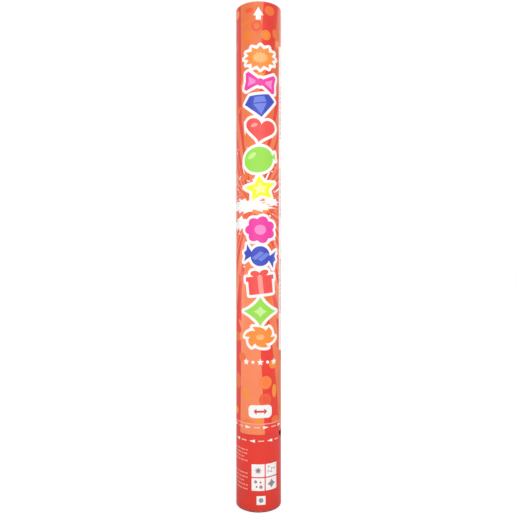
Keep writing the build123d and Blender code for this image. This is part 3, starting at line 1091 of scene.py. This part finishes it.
def wrap(name, sheet, bands, inks):
    """The print as a closed sheet of paper round the tube, lapped at its seam."""
    left, bottom, right, top = sheet.area
    facets = math.ceil((right - left) / arc(FACET_ANGLE))
    cuts = [left + (right - left) * k / facets for k in range(1, facets)]
    levels = [bottom + (top - bottom) * k / bands for k in range(1, bands)]
    front_spots, front, face_inks = flat_triangles(sheet, cuts, levels)

    # The back has only the rim's points, and follows the front's in the list
    rim = rim_edges(front)
    rim_points = sorted({a for a, _ in rim})
    back_spots = [front_spots[a] for a in rim_points]
    order = {a: k for k, a in enumerate(rim_points)}
    first = len(front_spots)
    back = back_triangles(back_spots, [(order[a], order[b]) for a, b in rim], cuts)
    back = [[first + k for k in face] for face in back]
    sides = [[b, a, first + order[a], first + order[b]] for a, b in rim]

    used = sorted(set(face_inks))
    materials = [inks[each] for each in used] + [inks["paper_edge"]]
    slots = [used.index(each) for each in face_inks] + [len(used)] * (len(back) + len(sides))
    faces = front + back + sides
    points = [wrapped(spot, 0) for spot in front_spots] + [wrapped(spot, PAPER) for spot in back_spots]
    piece = mesh_piece(name, points, faces, materials, slots, [True] * len(faces))

    # Normals stand straight out of the tube, and the map holds the print in bands
    spots = list(front_spots) + back_spots
    across = [(spot.x - left) / (right - left) for spot in spots]
    up = [(spot.y - bottom) / (top - bottom) for spot in spots]
    normals = []
    layout = []
    for face in front:
        band = min(int(min(up[v] for v in face) * bands + NEAR), bands - 1)
        for v in face:
            normals.append(outward(spots[v].x))
            layout += map_spot(band % 2, band // 2, across[v], up[v] * bands - band)
    for face in back:
        for v in face:
            normals.append(-outward(spots[v].x))
            layout += map_spot(1, 1, across[v], up[v] * MAP_BACK)
    for number, face in enumerate(sides, len(front) + len(back)):
        for v in face:
            normals.append(piece.data.polygons[number].normal.copy())
            along = across[v] if NEAR < across[v] < 1 - NEAR else up[v]
            layout += map_spot(1, 1, along, MAP_SIDES[v >= first])
    piece.data.uv_layers.new(name="OFBake").data.foreach_set("uv", layout)
    piece.data.normals_split_custom_set(normals)
    return piece


def bent(bend, across, along):
    """How far a bundle's surface stands out at shares across, from -1 to 1, and along, from 0 to 1."""
    bow, curl, start = bend
    ripple = BUNDLE_RIPPLE * math.sin(start + 5 * along + 2 * across)
    return bow * across ** 2 + curl * math.sin(math.pi * along) + ripple


def slip(base, turn, bend, bottom, pitch, rng):
    """Points of one bent slip, its back and then its front, askew in a bundle that stands at a turn."""
    shift = rng.uniform(-SLIP_DRIFT, SLIP_DRIFT)
    spare = (pitch - SLIP_LENGTH) / 2 - SLIP_CLEAR
    middle = bottom + pitch / 2 + rng.uniform(-spare, spare)
    tilt = rng.uniform(-SLIP_TILT, SLIP_TILT)
    cosine, sine = polar(1, turn)
    points = []
    for side in (-SLIP_PAPER / 2, SLIP_PAPER / 2):
        for row in range(SLIP_ALONG):
            for column in range(SLIP_ACROSS):
                flat = (2 * column / (SLIP_ACROSS - 1) - 1, 2 * row / (SLIP_ALONG - 1) - 1)
                (y, z), = placed([flat], (shift, middle), SLIP_WIDTH, SLIP_LENGTH, tilt)
                x = base + side + bent(bend, 2 * y / BUNDLE_WIDTH, (z - bottom) / pitch)
                points.append(Vector((x * cosine - y * sine, x * sine + y * cosine, z)) * MM)
    return points


def slip_faces(back):
    """Faces of one closed slip whose back starts at a number, with its front after it."""
    front = back + SLIP_ACROSS * SLIP_ALONG
    starts = [a for a in range(front - back - SLIP_ACROSS) if (a + 1) % SLIP_ACROSS]
    quads = [(a, a + 1, a + 1 + SLIP_ACROSS, a + SLIP_ACROSS) for a in starts]
    faces = [tuple(front + v for v in quad) for quad in quads]
    faces += [tuple(back + v for v in reversed(quad)) for quad in quads]
    return faces + [(front + b, front + a, back + a, back + b) for a, b in rim_edges(quads)]


def slips(name, node, first_bundle, materials, seed):
    """Loose slips in every other bundle; those of a bundle follow one bend, so none crosses another."""
    rng = random.Random(seed)
    low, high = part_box(node)
    pitch = (high.z - low.z) / MM / LAYERS
    points, faces, slots = [], [], []
    for layer in range(LAYERS):
        for bundle in range(first_bundle, BUNDLES, 2):
            turn = layer * LAYER_TURN + bundle * 360 / BUNDLES
            bottom = low.z / MM + layer * pitch
            bend = (rng.uniform(*BUNDLE_BOW), rng.uniform(*BUNDLE_CURL), rng.uniform(0, 2 * math.pi))
            for number in range(SLIPS):
                base = BUNDLE_INNER + BUNDLE_DEPTH * (number + 0.5) / SLIPS
                new_faces = slip_faces(len(points))
                points += slip(base, turn, bend, bottom, pitch, rng)
                faces += new_faces
                slots += [rng.randrange(len(materials))] * len(new_faces)
    return mesh_piece(name, points, faces, materials, slots)


def foam_disc(name, node, material):
    """A soft-edged foam disc with an uneven skin, in the space of a node."""
    low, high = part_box(node)
    radius = node_radius(node)
    edge = FOAM_EDGE * MM
    turns = [90 / FOAM_EDGE_STEPS * step for step in range(FOAM_EDGE_STEPS + 1)]
    outline = [(radius * share, low.z) for share in FOAM_RINGS]
    outline += [beyond((radius - edge, low.z + edge), edge, turn - 90) for turn in turns]
    outline += [(radius, low.z + (high.z - low.z) * share) for share in FOAM_SIDE_RINGS]
    outline += [beyond((radius - edge, high.z - edge), edge, turn) for turn in turns]
    outline += [(radius * share, high.z) for share in reversed(FOAM_RINGS)]
    points = [Vector((0, 0, low.z)), Vector((0, 0, high.z))]
    for reach, z in outline:
        for k in range(FOAM_ROUND):
            x, y = polar(reach, 360 * k / FOAM_ROUND)
            skin = Vector((x, y, z))
            out = Vector((x, y, 0)).normalized()
            if not low.z < z < high.z:
                out = Vector((0, 0, 1 if z >= high.z else -1))
            dent = FOAM_DENT * MM * (noise.noise(skin * FOAM_DENT_SCALE) - FOAM_DENT_LEVEL)
            points.append(skin + out * dent)
    first = 2
    last = first + (len(outline) - 1) * FOAM_ROUND
    faces = ring_quads(len(outline), FOAM_ROUND, first)
    for k in range(FOAM_ROUND):
        after = (k + 1) % FOAM_ROUND
        faces += [(0, first + after, first + k), (1, last + k, last + after)]
    return mesh_piece(name, points, faces, [material], smooth=[True] * len(faces))


def coil_spring(name, node, material):
    """A round-wire spring with closed ends, in the space of a node."""
    low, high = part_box(node)
    coil = node_radius(node) / MM - SPRING_WIRE
    bottom = low.z / MM + SPRING_WIRE
    height = (high.z - low.z) / MM - 2 * SPRING_WIRE
    open_pitch = (height - 2 * SPRING_END_PITCH) / (SPRING_TURNS - 2)
    points = []
    for step in range(SPRING_TURNS * SPRING_STEPS + 1):
        turn = step / SPRING_STEPS
        closed = min(turn, 1) + max(turn - SPRING_TURNS + 1, 0)
        pitch = SPRING_END_PITCH if turn < 1 or turn > SPRING_TURNS - 1 else open_pitch
        x, y = polar(1, 360 * turn)
        out = Vector((x, y, 0))
        along = Vector((-y, x, pitch / (2 * math.pi * coil))).normalized()
        z = bottom + SPRING_END_PITCH * closed + open_pitch * (turn - closed)
        middle = coil * out + Vector((0, 0, z))
        for k in range(SPRING_ROUND):
            across, rise = polar(SPRING_WIRE, 360 * k / SPRING_ROUND)
            points.append((middle + across * out + rise * out.cross(along)) * MM)
    quads = ring_quads(len(points) // SPRING_ROUND, SPRING_ROUND)
    ends = [range(SPRING_ROUND), range(len(points) - 1, len(points) - 1 - SPRING_ROUND, -1)]
    faces = [tuple(end) for end in ends] + [quad[::-1] for quad in quads]
    return mesh_piece(name, points, faces, [material], smooth=[len(face) == 4 for face in faces])


# Stage
def floor():
    """A plain pale floor that shows white to the camera and keeps the object's shadow."""
    shader = Shader("floor_paper", Base_Color=FLOOR_GREY, Roughness=0.9, Emission_Color=WHITE)
    seen = shader.add("LightPath").outputs["Is Camera Ray"]
    shader.set(Emission_Strength=shader.math("MULTIPLY", seen, FLOOR_GLOW))
    corners = [(u, v, 0) for u, v in box(-FLOOR_REACH, -FLOOR_REACH, FLOOR_REACH, FLOOR_REACH)]
    piece = mesh_piece("floor", corners, [(0, 1, 2, 3)], [shader.material])
    piece.location.z = -FLOOR_DROP


def surroundings():
    """A white room: full white where it is seen or mirrored, a softer white where it lights."""
    world = bpy.data.worlds.new("studio")
    bpy.context.scene.world = world
    world.use_nodes = True
    tree = Tree(world.node_tree)
    rays = tree.add("LightPath").outputs
    seen = rays["Is Camera Ray"]
    for other in ("Is Glossy Ray", "Is Transmission Ray"):
        seen = tree.math("MAXIMUM", seen, rays[other])
    background = world.node_tree.nodes["Background"].inputs
    tree.put(background["Color"], WHITE)
    tree.put(background["Strength"], tree.spread(seen, 0, 1, ROOM_LIGHT, ROOM_SEEN))


def lamp(name, place, aim, size, watts, spread):
    """A soft lamp turned towards a point, with its light held to a spread in degrees."""
    light = bpy.data.lights.new(name, "AREA")
    light.shape = "RECTANGLE"
    light.size, light.size_y = size
    light.energy = watts
    light.spread = math.radians(spread)
    piece = bpy.data.objects.new(name, light)
    piece.location = place
    piece.rotation_euler = (Vector(aim) - Vector(place)).to_track_quat("-Z", "Y").to_euler()
    bpy.context.scene.collection.objects.link(piece)


def camera():
    """A level camera in front of the popper."""
    lens = bpy.data.cameras.new("camera")
    lens.sensor_width = SENSOR_WIDTH
    lens.lens = FOCAL_PIXELS / PHOTO_PIXELS * SENSOR_WIDTH
    piece = bpy.data.objects.new("camera", lens)
    piece.location = CAMERA_PLACE
    piece.rotation_euler = (math.pi / 2, 0, 0)
    bpy.context.scene.collection.objects.link(piece)
    bpy.context.scene.camera = piece


# The printed wraps
inks = {name: ink(name) for name in INKS}
inks["paper_edge"] = paper_edge()
barrel_wrap = wrap("barrel_wrap", barrel_print(), BARREL_BANDS, inks)
dress(barrel_wrap, "barrel", "barrel_label")
handle_wrap = wrap("handle_wrap", handle_print(), HANDLE_BANDS, inks)
dress(handle_wrap, "handle", "handle_label")

# Finishes, each with the nodes that stay and have it
brass = metal("valve_brass", (222, 178, 98), 0.28, 0.35)
steel = metal("steel", (198, 198, 202), 0.24, 0.3)
FINISHES = (
    (board("tube_board", (168, 142, 112), wound=True), "handle_tube", "barrel_tube"),
    (board("liner_board", (158, 136, 110), wound=True), "handle_liner"),
    (board("disc_board", (206, 198, 184)), "pusher_card", "muzzle_card"),
    (plastic("cap_black", (52, 51, 53), 0.45), "base_cap"),
    (plastic("head_charcoal", (84, 84, 88), 0.4), "cylinder_head", "nozzle_plate"),
    (plastic("natural_plastic", (222, 218, 208), 0.38), "release_stopper", "cam_ring"),
    (plastic("sleeve_brick", (150, 62, 48), 0.45), "bearing_sleeve"),
    (plastic("bottle_plastic", (214, 218, 220), 0.26, strength=0.08), "air_cylinder"),
    (brass, "fill_valve_body", "fill_valve_nut", "fill_valve_retainer"),
    (steel, "fill_valve_ball", "stopper_pin"),
    (rubber(), "head_o_ring", "fill_valve_gasket", "stopper_o_ring"),
)
for material, *names in FINISHES:
    for name in names:
        for each in nodes[name].material_slots:
            each.material = material

# The charge of slips
tissues = [tissue(name, colour) for name, colour in TISSUES.items()]
paper_slips = slips("paper_slips", "paper_confetti", 0, tissues, PAPER_SEED)
dress(paper_slips, "confetti", "paper_confetti")
foils = [foil(name, colour) for name, colour in FOILS.items()]
foil_slips = slips("foil_slips", "foil_confetti", 1, foils, FOIL_SEED)
dress(foil_slips, "confetti", "foil_confetti")

# The valve's spring, on a mesh of its own
valve_coil = coil_spring("valve_coil", "fill_valve_spring", steel)
dress(valve_coil, "handle", "fill_valve_spring")
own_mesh(valve_coil)

# The foam discs under and over the charge
foam_skin = foam()
for name, node, body in (("wad_foam", "pusher_wad", "wad"), ("plug_foam", "muzzle_plug", "lid")):
    disc = foam_disc(name, node, foam_skin)
    dress(disc, body, node)

floor()
surroundings()
for row in LAMPS:
    lamp(*row)
camera()
bpy.context.scene.view_settings.view_transform = "Standard"
